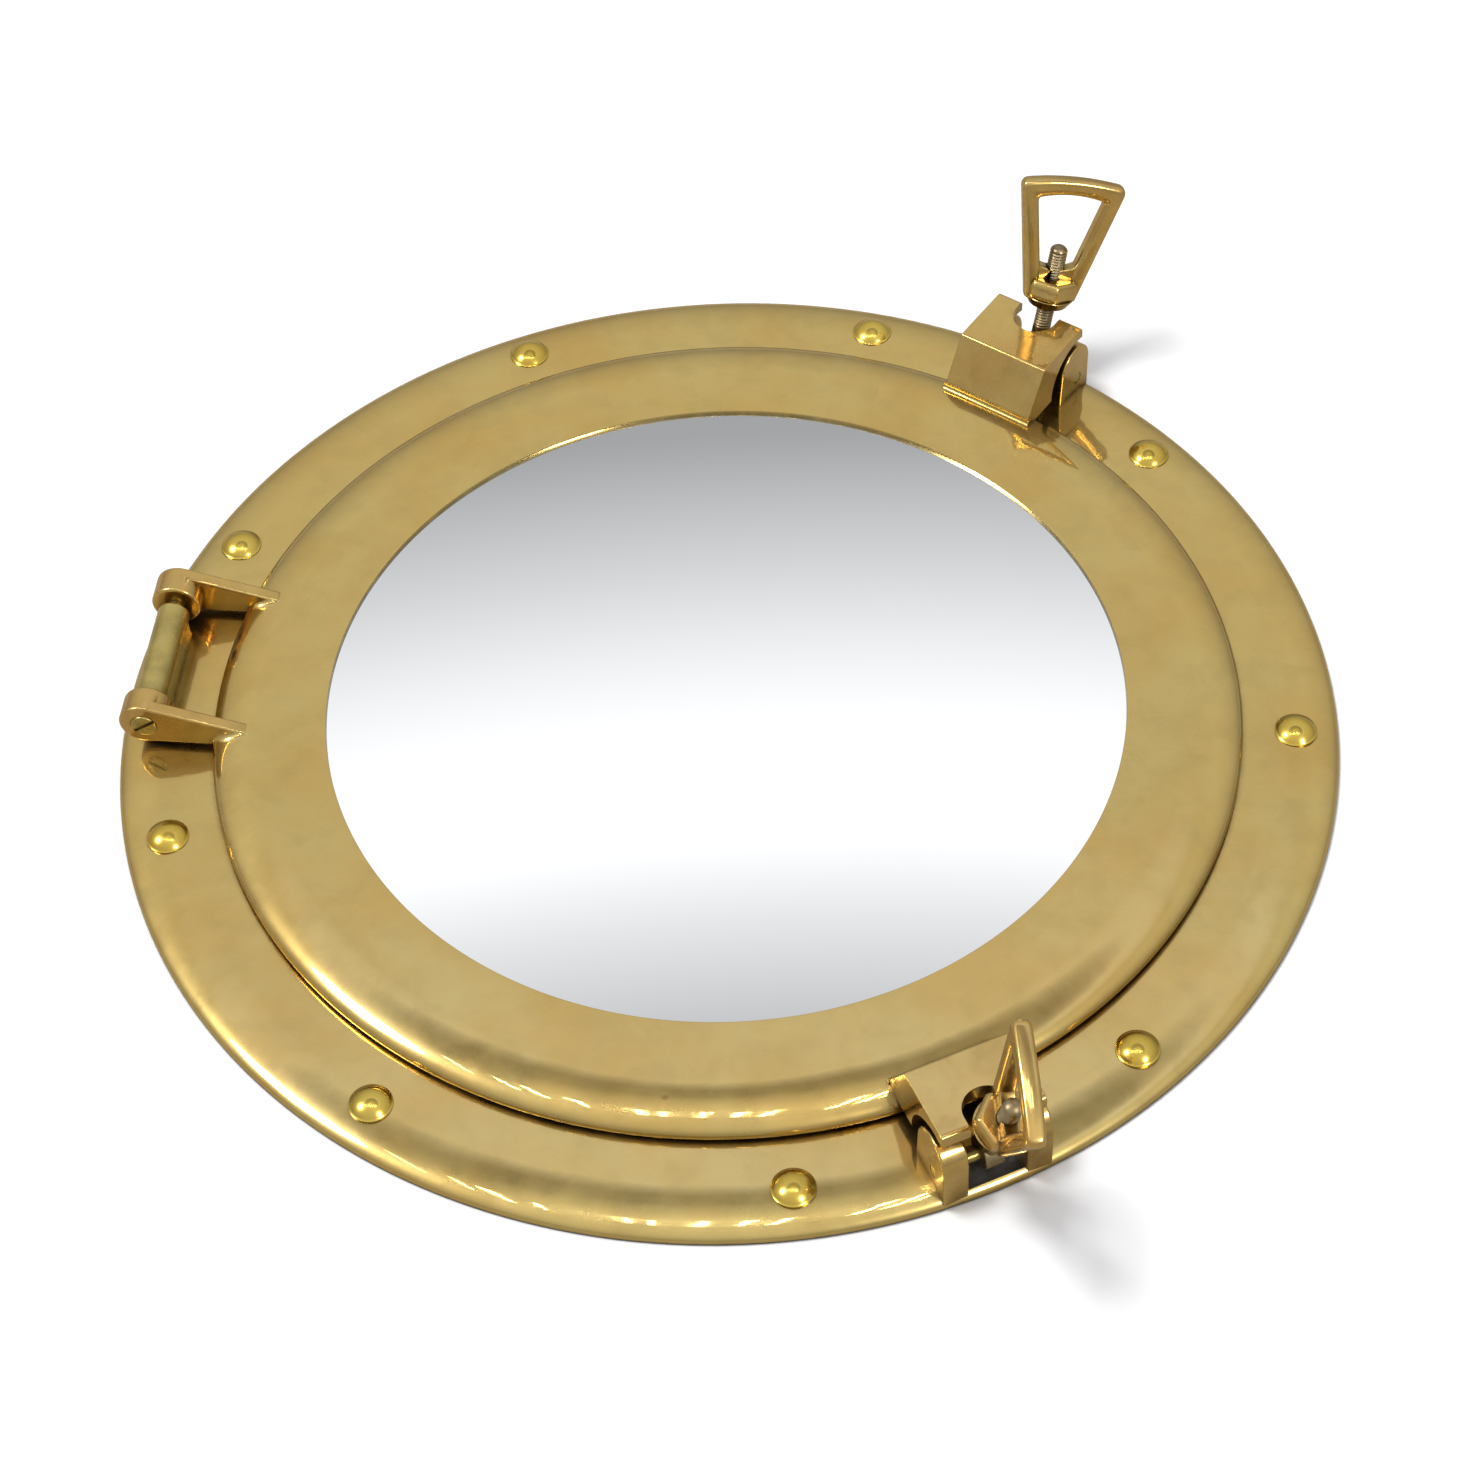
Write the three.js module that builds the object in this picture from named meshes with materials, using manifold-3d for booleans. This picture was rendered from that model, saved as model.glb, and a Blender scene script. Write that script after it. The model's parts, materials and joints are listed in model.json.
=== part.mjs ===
// Opening porthole with a mirror in its door: a round brass flange, a hinged opening ring that
// carries the glass, and two swing-bolt dogs whose loop nuts clamp the ring's slotted lugs.
//
// Millimetres. +Z points out of the wall and the flange's flat back is at z = 0. The part is
// drawn around the flange's centre and then moved, so that its origin lies on the flat back,
// behind the middle of the hinge. The hinge is on the -X side with its axis along Y, so +X is
// the side that opens. Angles around the flange are in degrees from +X towards +Y.

import * as THREE from 'three';
import { mergeVertices } from 'three/addons/utils/BufferGeometryUtils.js';
import Module from 'manifold-3d';

const wasm = await Module();
wasm.setup();

// ---------- driving dimensions ----------

const RING_SEGMENTS = 72; // sides of the large turned rings
const SMALL_SEGMENTS = 16; // sides of bolts, pins and collars
const RIVET_SEGMENTS = 12; // sides of rivets and retainer screws
const HOLLOW_SEGMENTS = 32;
const CUT = 1; // how far a cutting solid runs past the face that it cuts
const RUNNING_GAP = 0.1; // a pin in its bore, on the radius
const FITTED_GAP = 0.15; // between pieces that sit in each other's recesses, on the radius
const FACE_GAP = 0.05; // between faces that rest on each other

// flange and its seat
const FLANGE_R = 152.4; // a 12 inch flange
const FLANGE_TOP = 4.4;
const FLANGE_EDGE_ROLL = 9; // width over which the outer edge rolls down
const FLANGE_EDGE_FOOT = 0.5; // straight foot under the roll
const FRAME_OPENING_R = 99;
const BACK_RELIEF = { inner: 106, outer: 136, depth: 1.5 };
const ROOT_Z = 3; // height inside the flange from which the hinge seat and the posts rise

// opening ring (the door)
const DOOR_R = 128.4;
const DOOR_TOP = 11;
const DOOR_UNDERSIDE = 5.4;
const DOOR_EDGE_ROLL = 8;
const SIGHT_R = 99.6; // the visible radius of the glass
const LIP = 1; // the lip that holds the glass from the front
const SIGHT_BEVEL = { depth: 0.3, width: 0.4 };
const DOOR_EDGE_BREAK = { height: 0.8, width: 0.4 }; // under the rolled edge
const GLASS_R = 103.5;
const GLASS_THICKNESS = 3;
const GLAZING_REBATE_R = 105.1;
const PAD_THICKNESS = 0.4;
const RETAINER = { inner: 92, outer: 108.8, thickness: 1.1 };
const RETAINER_SCREWS = { count: 6, circle: 106.8, firstAngle: 30 };
const RETAINER_SCREW = { headR: 1.55, shankR: 0.9, headDepth: 0.7, length: 3.4, sunk: 0.1 };
const SCREW_HOLE = { from: 4, to: 10.2 }; // heights between which the door is drilled
const GASKET = { inner: 111, outer: 115, height: 2.9, slack: 0.2 };
const DOOR_HOLLOW = { inner: 117.5, outer: 124.4, top: 8.2 };

// hinge
const HINGE_X = -143.4;
const HINGE_Z = 12;
const HINGE_MIDDLE_Y = 3;
const HINGE_PIN = { radius: 2, endInset: 0.3 };
const BARREL = { radius: 4.1, from: -13, to: 17, webHalf: 3.2 };
const EAR = { knuckleR: 6.3, doorX: -118.6, bottom: 5.4, tailAngle: 0.1, topDrop: 0.05 };
const EARS = [
  { web: [-21, -17.5], boss: [-21, -13.5] },
  { web: [23.5, 27], boss: [19, 27] },
];
const PIN_HEAD = { radius: 3.3, depth: 1.6, proud: 0.4 };
const PIN_HEAD_SLOT = { width: 0.9, depth: 0.8, turn: -35 };

// dogs: each is an eye bolt that swings between two posts, with a loop nut on it
const DOG_ANGLES = { a: 60.6, b: 299.4 };
const REST_SWING = 19; // at rest the dogs are swung out by this much, just clear of the lugs
const BOLT_RADIUS_POSITION = 146.2; // from the flange's centre to the pivot of the bolt
const BOLT_R = 2.4;
const BOLT_TIP = 42.5; // height of the tip with the bolt upright
const BOLT_DOME = [[1, 1.9], [0.85, 0.8], [0.4, 0]]; // share of the radius, distance below the tip
const PIVOT_Z = 8;
const DOG_PIN_R = 1.5;
const EYE = { radius: 4.1, width: 4.8 };
const POST = { half: 13.7, inner: 138, outer: 151.7, foot: 0.4, heel: 4, top: 19.4, round: 6.8 };
const POST_GAP = 14.6; // clear width between the two posts
const BOLT_SLOT = { inner: 141.4, outer: 150.8 };
const POST_CLEARANCE = 5; // how far the space between two posts is cut past them

// slotted lugs, brazed to the opening ring
const LUG = { half: 13, footR: 121.6, crestR: 129.5, outerR: 149, top: 24, base: 8.8, toe: 0.6 };
const LUG_HOLLOW = { r: 145.5, z: 9.5, radius: 11.7, mouthDrop: 1 };
const LUG_SLOT = { width: 12, innerR: 139.8 };
const BRAZE_GAP = 0.1;

// heights of the layers behind the glass
const GLASS_TOP = DOOR_TOP - LIP;
const GLASS_BOTTOM = GLASS_TOP - GLASS_THICKNESS;
const RETAINER_TOP = GLASS_BOTTOM - PAD_THICKNESS;
const RETAINER_BOTTOM = RETAINER_TOP - RETAINER.thickness;

// loop nut, measured from its own seat
const NUT_GAP = 1.3; // the nut is backed off this far, so the bolt can swing out over the lug
const NUT_BORE_R = 2.55;
const NUT_CONE = [[5.2, 0], [6.9, 2.8]]; // centres itself in the lug's slot
const NUT_HEXAGON = [[6.6, 2.3], [7.4, 3.4], [7.4, 6.2], [6.4, 8]]; // radius at the corners
const LOOP = { height: 36.8, topHalf: 14.8, bar: 4.4, footHalf: 6.6, crown: 1.4, thickness: 4.6 };
const LOOP_CURVE = { corner: 3, windowCorner: 1.2, crownStart: 0.25, crownPull: 0.6, points: 5 };
const LOOP_FOOT = { outside: 3, window: 8.5 }; // heights where the outline and the window start
const LOOP_BEVEL = 1.1;
const LOOP_TURN = { a: -49, b: 162 }; // how far each nut is turned, from the radial direction

// rivets: hand spaced, three between each pair of fittings
const RIVET = { circle: 141.5, headR: 5.2, headHeight: 2.7, shankR: 2, shankFoot: 0.4, domeSteps: 4 };
const RIVET_ANGLES = [1.2, 43, 79.1, 118.2, 160.1, 200.5, 240.5, 281.8, 317.7];

// ---------- materials ----------

const metal = (color, roughness) =>
  new THREE.MeshStandardMaterial({ color, roughness, metalness: 1 });
const BRASS = metal(0xc9a95a, 0.22);
const RIVET_BRASS = metal(0xd9ae3f, 0.2);
const BARREL_BRASS = metal(0xa79a55, 0.35);
const BOLT_METAL = metal(0x8d8062, 0.45);
const SCREW_BRASS = metal(0xb39b58, 0.35);
const MIRROR = metal(0xe8ebee, 0.03);
const RUBBER = new THREE.MeshStandardMaterial({ color: 0x1b1b1b, roughness: 0.8, metalness: 0 });
const PAD = new THREE.MeshStandardMaterial({ color: 0x5a4a38, roughness: 0.95, metalness: 0 });

// ---------- helpers ----------

const rad = THREE.MathUtils.degToRad;
const v2 = (pairs) => pairs.map(([x, y]) => new THREE.Vector2(x, y));

// A closed geometry as a manifold solid, turned inside out if its faces point in.
function solid(geometry) {
  const bare = geometry.index ? geometry.clone() : mergeVertices(geometry.clone());
  bare.deleteAttribute('normal');
  bare.deleteAttribute('uv');
  const g = mergeVertices(bare, 1e-4);
  const p = g.attributes.position.array;
  const tri = [];
  let volume = 0;
  const corner = (i) => new THREE.Vector3(p[3 * i], p[3 * i + 1], p[3 * i + 2]);
  for (let i = 0; i < g.index.count; i += 3) {
    const [a, b, c] = [0, 1, 2].map((k) => g.index.getX(i + k));
    if (a === b || b === c || a === c) continue;
    tri.push(a, b, c);
    volume += corner(a).dot(corner(b).cross(corner(c)));
  }
  if (volume < 0) tri.reverse();
  const mesh = new wasm.Mesh({
    numProp: 3,
    vertProperties: new Float32Array(p),
    triVerts: new Uint32Array(tri),
  });
  return new wasm.Manifold(mesh);
}

function geometryOf(manifold) {
  const m = manifold.getMesh();
  const g = new THREE.BufferGeometry();
  g.setAttribute('position', new THREE.BufferAttribute(new Float32Array(m.vertProperties), 3));
  g.setIndex(new THREE.BufferAttribute(new Uint32Array(m.triVerts), 1));
  return g;
}

// A [radius, z] profile turned about Z.
const turned = (profile, segments = RING_SEGMENTS) =>
  solid(new THREE.LatheGeometry(v2(profile), segments).rotateX(Math.PI / 2));

const ring = (inner, outer, bottom, top) =>
  turned([[inner, bottom], [outer, bottom], [outer, top], [inner, top], [inner, bottom]]);

const disc = (radius, bottom, top) =>
  turned([[0, bottom], [radius, bottom], [radius, top], [0, top]]);

// A shape in the (radial, z) plane, drawn out along the tangential direction.
function drawnShape(shape, from, to, azimuth = 0, options = {}) {
  const g = new THREE.ExtrudeGeometry(shape, {
    depth: to - from, bevelEnabled: false, curveSegments: 6, ...options,
  });
  g.rotateX(Math.PI / 2).translate(0, to, 0).rotateZ(rad(azimuth));
  return solid(g);
}

const drawn = (points, from, to, azimuth) =>
  drawnShape(new THREE.Shape(v2(points)), from, to, azimuth);

const box = (x0, x1, z0, z1, half, azimuth) =>
  drawn([[x0, z0], [x1, z0], [x1, z1], [x0, z1]], -half, half, azimuth);

// A rod along the tangential (local Y) direction, at a radial place and height.
function crossRod(radius, from, to, x, z, azimuth = 0, segments = SMALL_SEGMENTS) {
  const g = new THREE.CylinderGeometry(radius, radius, to - from, segments);
  g.translate(x, (from + to) / 2, z).rotateZ(rad(azimuth));
  return solid(g);
}

// A quarter-ellipse roll-over from a flat top down to an upright edge.
function rolledEdge(outerR, width, top, foot, steps = 5) {
  const points = [];
  for (let i = 0; i <= steps; i += 1) {
    const t = (Math.PI / 2) * (1 - i / steps);
    points.push([
      outerR - width + width * Math.cos(t),
      foot + (top - foot) * Math.sin(t),
    ]);
  }
  return points;
}

const group = new THREE.Group();
group.position.set(-HINGE_X, -HINGE_MIDDLE_Y, 0);

function add(name, manifold, material, parent = group) {
  const mesh = new THREE.Mesh(geometryOf(manifold), material);
  mesh.name = name;
  parent.add(mesh);
  return mesh;
}

// ---------- frame: flange, hinge barrel and the posts for the dogs, one casting ----------

function flange() {
  return turned([
    [FRAME_OPENING_R, 0],
    [BACK_RELIEF.inner, 0],
    [BACK_RELIEF.inner, BACK_RELIEF.depth],
    [BACK_RELIEF.outer, BACK_RELIEF.depth],
    [BACK_RELIEF.outer, 0],
    [FLANGE_R, 0],
    ...rolledEdge(FLANGE_R, FLANGE_EDGE_ROLL, FLANGE_TOP, FLANGE_EDGE_FOOT).reverse(),
    [FRAME_OPENING_R, FLANGE_TOP],
    [FRAME_OPENING_R, 0],
  ]);
}

function postPair(azimuth) {
  const { half, inner, outer, foot, heel, top, round } = POST;
  const shape = new THREE.Shape();
  shape.moveTo(inner, ROOT_Z);
  shape.lineTo(outer - heel, ROOT_Z);
  shape.lineTo(outer - heel, foot);
  shape.lineTo(outer, foot);
  shape.lineTo(outer, top - round);
  shape.absarc(outer - round, top - round, round, 0, Math.PI, false);
  shape.lineTo(inner, ROOT_Z);
  return drawnShape(shape, -half, half, azimuth);
}

// The slot through the flange for the bolt's eye, and the space between the two posts above it.
function boltSlot(azimuth) {
  const { inner, outer } = BOLT_SLOT;
  const half = POST_GAP / 2;
  const slot = box(inner, outer, -CUT, FLANGE_TOP + CUT, half, azimuth);
  const space = box(
    POST.inner - POST_CLEARANCE, POST.outer + POST_CLEARANCE,
    FLANGE_TOP, POST.top + POST_CLEARANCE, half, azimuth,
  );
  return slot.add(space);
}

function frame() {
  const { radius, from, to, webHalf } = BARREL;
  let body = flange()
    .add(crossRod(radius, from, to, HINGE_X, HINGE_Z))
    .add(drawn(
      [
        [HINGE_X - webHalf, ROOT_Z], [HINGE_X + webHalf, ROOT_Z],
        [HINGE_X + webHalf, HINGE_Z], [HINGE_X - webHalf, HINGE_Z],
      ],
      from, to,
    ))
    .subtract(crossRod(HINGE_PIN.radius + RUNNING_GAP, from - CUT, to + CUT, HINGE_X, HINGE_Z));
  for (const azimuth of Object.values(DOG_ANGLES)) {
    const holeEnd = POST.half + CUT;
    const pinHole = crossRod(
      DOG_PIN_R + RUNNING_GAP, -holeEnd, holeEnd, BOLT_RADIUS_POSITION, PIVOT_Z, azimuth,
    );
    body = body.add(postPair(azimuth)).subtract(boltSlot(azimuth)).subtract(pinHole);
  }
  for (const angle of RIVET_ANGLES) body = body.subtract(rivetHole(angle));
  return body;
}

// ---------- rivets ----------

function rivetHole(angle) {
  const r = RIVET.shankR + FITTED_GAP;
  const g = new THREE.CylinderGeometry(r, r, FLANGE_TOP + 2 * CUT, RIVET_SEGMENTS);
  g.rotateX(Math.PI / 2).translate(RIVET.circle, 0, FLANGE_TOP / 2).rotateZ(rad(angle));
  return solid(g);
}

function rivet(angle) {
  const { headR, headHeight, shankR, shankFoot, circle, domeSteps } = RIVET;
  const sphereR = (headR ** 2 + headHeight ** 2) / (2 * headHeight);
  const profile = [[0, shankFoot], [shankR, shankFoot], [shankR, FLANGE_TOP], [headR, FLANGE_TOP]];
  const edge = Math.asin(headR / sphereR);
  for (let i = 1; i <= domeSteps; i += 1) {
    const t = edge * (1 - i / domeSteps);
    profile.push([
      sphereR * Math.sin(t),
      FLANGE_TOP + headHeight - sphereR * (1 - Math.cos(t)),
    ]);
  }
  profile[profile.length - 1][0] = 0;
  const g = new THREE.LatheGeometry(v2(profile), RIVET_SEGMENTS).rotateX(Math.PI / 2);
  g.translate(circle, 0, 0).rotateZ(rad(angle));
  return solid(g);
}

// ---------- opening ring ----------

// The turned ring. grow lifts its top and edge, to cut a seat for a piece brazed on to it.
function doorBody(grow = 0) {
  const top = DOOR_TOP + grow;
  const edge = DOOR_R + grow;
  const grooveTop = FLANGE_TOP + GASKET.height + GASKET.slack;
  return turned([
    [SIGHT_R, GLASS_TOP],
    [SIGHT_R, top - SIGHT_BEVEL.depth],
    [SIGHT_R + SIGHT_BEVEL.width, top],
    ...rolledEdge(edge, DOOR_EDGE_ROLL, top, DOOR_UNDERSIDE + DOOR_EDGE_BREAK.height),
    [edge - DOOR_EDGE_BREAK.width, DOOR_UNDERSIDE],
    [DOOR_HOLLOW.outer, DOOR_UNDERSIDE],
    [DOOR_HOLLOW.outer, DOOR_HOLLOW.top],
    [DOOR_HOLLOW.inner, DOOR_HOLLOW.top],
    [DOOR_HOLLOW.inner, DOOR_UNDERSIDE],
    [GASKET.outer + FITTED_GAP, DOOR_UNDERSIDE],
    [GASKET.outer + FITTED_GAP, grooveTop],
    [GASKET.inner - FITTED_GAP, grooveTop],
    [GASKET.inner - FITTED_GAP, DOOR_UNDERSIDE],
    [RETAINER.outer + FITTED_GAP, DOOR_UNDERSIDE],
    [RETAINER.outer + FITTED_GAP, RETAINER_TOP],
    [GLAZING_REBATE_R, RETAINER_TOP],
    [GLAZING_REBATE_R, GLASS_TOP],
    [SIGHT_R, GLASS_TOP],
  ]);
}

// Web and boss of one hinge ear. Its top slopes from the knuckle down to the ring's top.
function ear({ web, boss }) {
  const { knuckleR, doorX, bottom, tailAngle, topDrop } = EAR;
  const shape = new THREE.Shape();
  const slope = Math.atan2(HINGE_Z + knuckleR - DOOR_TOP, doorX - HINGE_X);
  const top = Math.PI / 2 - slope;
  shape.moveTo(doorX, bottom);
  shape.lineTo(doorX, DOOR_TOP - topDrop);
  shape.lineTo(HINGE_X + knuckleR * Math.cos(top), HINGE_Z + knuckleR * Math.sin(top));
  shape.absarc(HINGE_X, HINGE_Z, knuckleR, top, 1.5 * Math.PI - tailAngle, false);
  shape.lineTo(HINGE_X, bottom);
  shape.lineTo(doorX, bottom);
  return drawnShape(shape, web[0], web[1]).add(crossRod(knuckleR, boss[0], boss[1], HINGE_X, HINGE_Z));
}

// One lug: a sloping web and a slotted plate, hollowed below so that the bolt can stand in it.
function lug(azimuth) {
  const { half, footR, crestR, outerR, top, base, toe } = LUG;
  const { r, z, radius, mouthDrop } = LUG_HOLLOW;
  const past = half + CUT;
  const block = drawn(
    [[footR, base], [outerR, base], [outerR, top], [crestR, top], [footR, DOOR_TOP + toe]],
    -half, half, azimuth,
  );
  const hollow = crossRod(radius, -past, past, r, z, azimuth, HOLLOW_SEGMENTS);
  const mouth = drawn(
    [
      [r, base - CUT], [outerR + CUT, base - CUT],
      [outerR + CUT, z + radius - mouthDrop], [r, z + radius],
    ],
    -past, past, azimuth,
  );
  const slotHalf = LUG_SLOT.width / 2;
  const slotCentre = LUG_SLOT.innerR + slotHalf;
  const slot = box(slotCentre, outerR + CUT, base - CUT, top + CUT, slotHalf, azimuth);
  const slotEnd = new THREE.CylinderGeometry(
    slotHalf, slotHalf, top - base + 2 * CUT, SMALL_SEGMENTS,
  );
  slotEnd.rotateX(Math.PI / 2).translate(slotCentre, 0, (top + base) / 2).rotateZ(rad(azimuth));
  return block.subtract(hollow).subtract(mouth).subtract(slot).subtract(solid(slotEnd))
    .subtract(doorBody(BRAZE_GAP));
}

function door() {
  let body = doorBody();
  for (const one of EARS) body = body.add(ear(one));
  const from = EARS[0].web[0];
  const to = EARS[1].web[1];
  const bore = HINGE_PIN.radius + RUNNING_GAP;
  const headSeat = PIN_HEAD.radius + RUNNING_GAP;
  body = body
    .subtract(crossRod(bore, from - CUT, to + CUT, HINGE_X, HINGE_Z))
    .subtract(crossRod(headSeat, from - CUT, from + PIN_HEAD.depth, HINGE_X, HINGE_Z));
  for (let i = 0; i < RETAINER_SCREWS.count; i += 1) {
    body = body.subtract(screwHole(i, RETAINER_SCREW.shankR + RUNNING_GAP, SCREW_HOLE.to));
  }
  return body;
}

function hingePin() {
  const from = EARS[0].web[0] - PIN_HEAD.proud;
  const to = EARS[1].web[1] - HINGE_PIN.endInset;
  const head = crossRod(PIN_HEAD.radius, from, from + PIN_HEAD.depth, HINGE_X, HINGE_Z);
  const shank = crossRod(HINGE_PIN.radius, from + PIN_HEAD.depth / 2, to, HINGE_X, HINGE_Z);
  const { width, depth, turn } = PIN_HEAD_SLOT;
  const slot = new THREE.BoxGeometry(2 * (PIN_HEAD.radius + CUT), 2 * depth, width)
    .rotateY(rad(turn)).translate(HINGE_X, from, HINGE_Z);
  return head.subtract(solid(slot)).add(shank);
}

// ---------- glazing ----------

const screwAngle = (index) =>
  rad(RETAINER_SCREWS.firstAngle + (360 / RETAINER_SCREWS.count) * index);

function screwHole(index, radius, top) {
  const { from } = SCREW_HOLE;
  const g = new THREE.CylinderGeometry(radius, radius, top - from, RIVET_SEGMENTS);
  g.rotateX(Math.PI / 2).translate(RETAINER_SCREWS.circle, 0, (top + from) / 2);
  return solid(g.rotateZ(screwAngle(index)));
}

function retainer() {
  const { shankR, headR, headDepth } = RETAINER_SCREW;
  let body = ring(RETAINER.inner, RETAINER.outer, RETAINER_BOTTOM, RETAINER_TOP);
  for (let i = 0; i < RETAINER_SCREWS.count; i += 1) {
    body = body.subtract(screwHole(i, shankR + RUNNING_GAP, SCREW_HOLE.to));
    body = body.subtract(screwHole(i, headR + RUNNING_GAP, RETAINER_BOTTOM + headDepth));
  }
  return body;
}

function retainerScrew(index) {
  const { headR, shankR, headDepth, length, sunk } = RETAINER_SCREW;
  const headBottom = RETAINER_BOTTOM + sunk;
  const headTop = RETAINER_BOTTOM + headDepth - FACE_GAP;
  const tip = RETAINER_BOTTOM + length;
  const g = new THREE.LatheGeometry(v2([
    [0, headBottom], [headR, headBottom], [headR, headTop],
    [shankR, headTop], [shankR, tip], [0, tip],
  ]), RIVET_SEGMENTS).rotateX(Math.PI / 2);
  g.translate(RETAINER_SCREWS.circle, 0, 0);
  return solid(g.rotateZ(screwAngle(index)));
}

// ---------- dogs ----------

// A dog is built standing up with its pivot at the local origin, radial direction along +X.
function eyeBolt() {
  const tip = BOLT_TIP - PIVOT_Z;
  const dome = BOLT_DOME.map(([share, below]) => [BOLT_R * share, tip - below]);
  const half = EYE.width / 2;
  return turned([[0, 0], [BOLT_R, 0], ...dome, [0, tip]], SMALL_SEGMENTS)
    .add(crossRod(EYE.radius, -half, half, 0, 0))
    .subtract(crossRod(DOG_PIN_R + RUNNING_GAP, -half - CUT, half + CUT, 0, 0));
}

// The loop's outline in its own plane, with an arched top bar and rounded corners.
function loopOutline(inset, bottom, corner) {
  const { height, topHalf, footHalf, crown } = LOOP;
  const { crownStart, crownPull, points } = LOOP_CURVE;
  const lean = (topHalf - footHalf) / height;
  const side = (z) => footHalf + lean * z - inset * Math.hypot(1, lean);
  const shoulder = height - inset - crown;
  const s = new THREE.Path();
  s.moveTo(-side(bottom), bottom);
  s.lineTo(side(bottom), bottom);
  s.lineTo(side(shoulder - corner), shoulder - corner);
  s.quadraticCurveTo(
    side(shoulder), shoulder, side(shoulder) - corner, shoulder + crownStart * crown,
  );
  s.quadraticCurveTo(
    0, shoulder + (1 + crownPull) * crown, corner - side(shoulder), shoulder + crownStart * crown,
  );
  s.quadraticCurveTo(-side(shoulder), shoulder, -side(shoulder - corner), shoulder - corner);
  s.lineTo(-side(bottom), bottom);
  return s.getPoints(points);
}

function loopNut(turn) {
  const { corner, windowCorner } = LOOP_CURVE;
  const shape = new THREE.Shape(loopOutline(LOOP_BEVEL, LOOP_FOOT.outside, corner));
  const window = loopOutline(LOOP.bar - LOOP_BEVEL, LOOP_FOOT.window, windowCorner);
  shape.holes.push(new THREE.Path(window));
  const half = LOOP.thickness / 2 - LOOP_BEVEL;
  const loop = drawnShape(shape, -half, half, 0, {
    bevelEnabled: true, bevelThickness: LOOP_BEVEL, bevelSize: LOOP_BEVEL, bevelSegments: 2,
  });
  const coneTop = NUT_CONE.at(-1)[1];
  const cone = turned([[0, 0], ...NUT_CONE, [0, coneTop]], SMALL_SEGMENTS);
  const low = NUT_HEXAGON[0][1];
  const high = NUT_HEXAGON.at(-1)[1];
  const hexagon = turned([[0, low], ...NUT_HEXAGON, [0, high]], 6);
  const boreTop = LOOP.height / 2; // well inside the window
  const bore = turned(
    [[0, -CUT], [NUT_BORE_R, -CUT], [NUT_BORE_R, boreTop], [0, boreTop]], SMALL_SEGMENTS,
  );
  return cone.add(hexagon).add(loop).subtract(bore).rotate([0, 0, turn]);
}

function dog(letter) {
  const azimuth = DOG_ANGLES[letter];
  const stand = new THREE.Group();
  stand.rotation.z = rad(azimuth);
  const pivot = new THREE.Group();
  pivot.position.set(BOLT_RADIUS_POSITION, 0, PIVOT_Z);
  pivot.rotation.y = rad(REST_SWING);
  const nutSeat = new THREE.Group();
  nutSeat.position.set(0, 0, LUG.top + NUT_GAP - PIVOT_Z);
  group.add(stand.add(pivot.add(nutSeat)));
  add(`dog_bolt_${letter}`, eyeBolt(), BOLT_METAL, pivot);
  add(`dog_loop_nut_${letter}`, loopNut(LOOP_TURN[letter]), BRASS, nutSeat);
  const pin = crossRod(DOG_PIN_R, -POST.half, POST.half, BOLT_RADIUS_POSITION, PIVOT_Z);
  add(`dog_pivot_pin_${letter}`, pin, BARREL_BRASS, stand);
  add(`door_lug_${letter}`, lug(azimuth), BRASS);
}

// ---------- assembly ----------

add('frame', frame(), BRASS);
RIVET_ANGLES.forEach((angle, i) => add(`flange_rivet_${i + 1}`, rivet(angle), RIVET_BRASS));

add('door_ring', door(), BRASS);
add('hinge_pin', hingePin(), BARREL_BRASS);

add('mirror_glass', disc(GLASS_R, GLASS_BOTTOM, GLASS_TOP), MIRROR);
add('glazing_seal', ring(
  GLASS_R + FITTED_GAP, GLAZING_REBATE_R - FITTED_GAP, GLASS_BOTTOM, GLASS_TOP - FACE_GAP,
), RUBBER);
add('backing_pad', disc(GLASS_R, RETAINER_TOP, GLASS_BOTTOM), PAD);
add('glass_retainer', retainer(), SCREW_BRASS);
for (let i = 0; i < RETAINER_SCREWS.count; i += 1) {
  add(`retainer_screw_${i + 1}`, retainerScrew(i), SCREW_BRASS);
}
add('door_gasket', ring(
  GASKET.inner, GASKET.outer, FLANGE_TOP + FACE_GAP, FLANGE_TOP + GASKET.height,
), RUBBER);

Object.keys(DOG_ANGLES).forEach(dog);

const porthole = new THREE.Group().add(group);

export default porthole;
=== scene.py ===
"""Looks of the opening porthole mirror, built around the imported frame.

Lengths inside the piece functions are millimetres in the porthole's own frame: its centre is the
origin, z = 0 is the wall, the hinge is on the -X side and angles run from +X towards +Y. The
place() matrices carry them into the row frame in metres.
"""

import json
import math
import random

import bmesh
import bpy
from mathutils import Matrix, Vector


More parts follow.
